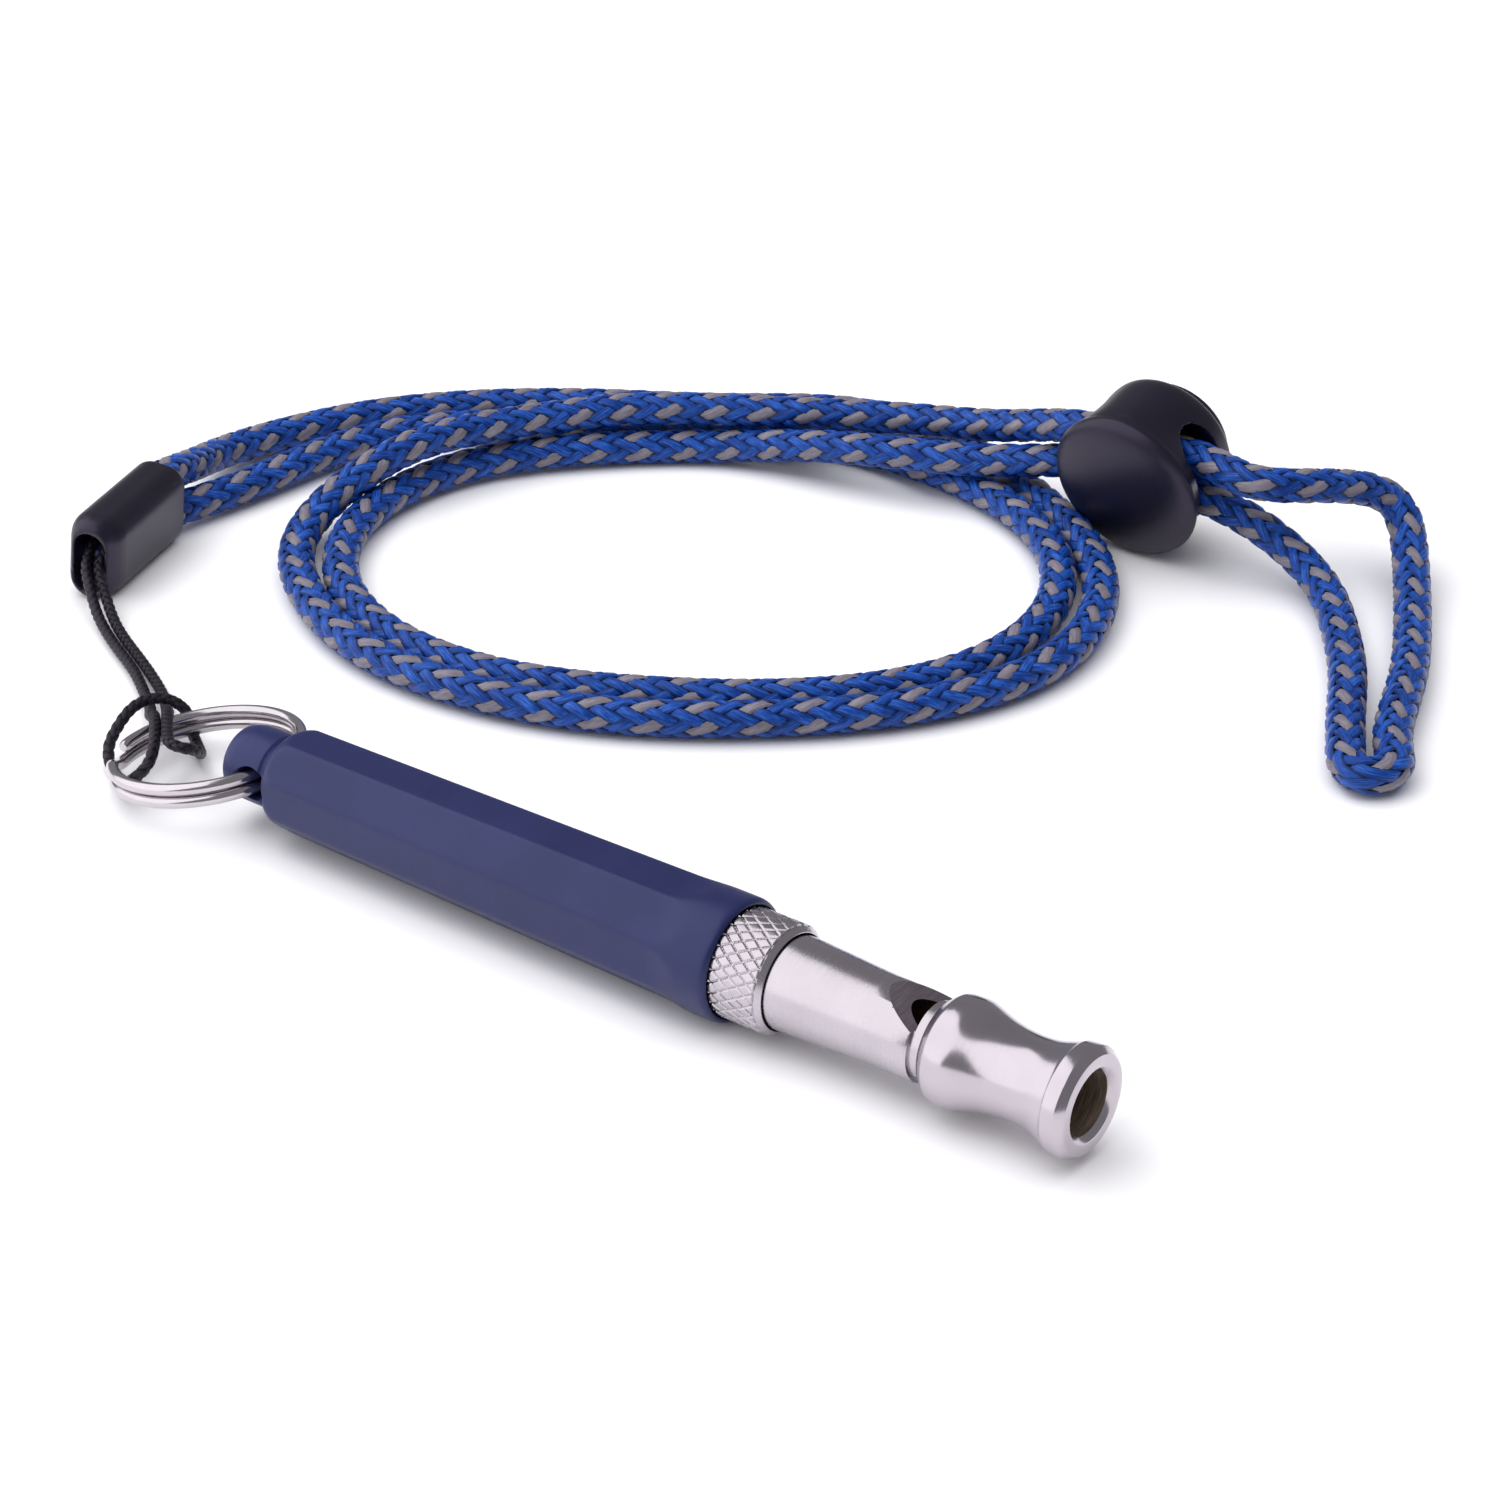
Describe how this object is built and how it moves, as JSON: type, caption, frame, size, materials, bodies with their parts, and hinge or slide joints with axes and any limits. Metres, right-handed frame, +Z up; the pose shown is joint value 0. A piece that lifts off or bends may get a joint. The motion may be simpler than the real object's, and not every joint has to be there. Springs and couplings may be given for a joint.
{
  "type": "training whistle",
  "caption": "Adjustable silent dog whistle with a navy barrel and nickel mouthpiece, on a split ring with a braided blue neck lanyard and a black cord lock.",
  "frame": {"origin": "on the floor, under the middle of the whistle and its ring", "axes": "+X along the whistle towards the mouthpiece, +Z up"},
  "size_m": [0.131, 0.1063, 0.0161],
  "materials": {
    "navy_anodised": "satin navy anodising",
    "nickel": "polished nickel plate",
    "spring_steel": "bright plated wire",
    "seal_rubber": "matt",
    "blue_braid": "braided polyester with grey reflective tracers",
    "black_braid": "fine braided nylon",
    "black_plastic": "satin moulded plastic"
  },
  "bodies": {
    "ring_and_lanyard": {"split_ring": "spring_steel", "tether": "black_braid", "cord_end": "black_plastic", "lanyard": "blue_braid", "cord_lock_body": "black_plastic", "cord_lock_spring": "spring_steel"},
    "barrel_body": {"barrel": "navy_anodised", "plunger_rod": "nickel", "piston_seal": "seal_rubber"},
    "mouthpiece_body": {"mouthpiece": "nickel"},
    "tube_body": {"whistle_tube": "nickel", "windway_plug": "nickel"},
    "nut_body": {"lock_nut": "nickel"},
    "button_body": {"cord_lock_button": "black_plastic"}
  },
  "joints": [
    {"name": "whistle_swing", "type": "hinge", "parent": "ring_and_lanyard", "child": "barrel_body", "pos_m": [-0.03135, 0, 0.00495], "axis": [0, -1, 0], "range_deg": [0, 100]},
    {"name": "tuning_travel", "type": "slide", "parent": "barrel_body", "child": "mouthpiece_body", "axis": [1, 0, 0], "range_m": [0, 0.006]},
    {"name": "tuning_turn", "type": "hinge", "parent": "mouthpiece_body", "child": "tube_body", "pos_m": [0.03, 0, 0.00495], "axis": [1, 0, 0], "range_deg": [0, 2881]},
    {"name": "lock_nut_turn", "type": "hinge", "parent": "tube_body", "child": "nut_body", "pos_m": [0.0185, 0, 0.00495], "axis": [1, 0, 0], "range_deg": [0, 360]},
    {"name": "button_press", "type": "slide", "parent": "ring_and_lanyard", "child": "button_body", "axis": [0, -0.9659, -0.2588], "range_m": [0, 0.0012], "stiffness_N_per_m": 100, "springref_m": -0.002, "deforming": ["cord_lock_spring"]}
  ],
  "couplings": [
    {"joint": "tuning_turn", "follows": "tuning_travel", "rad_per_m": 8377.6}
  ]
}
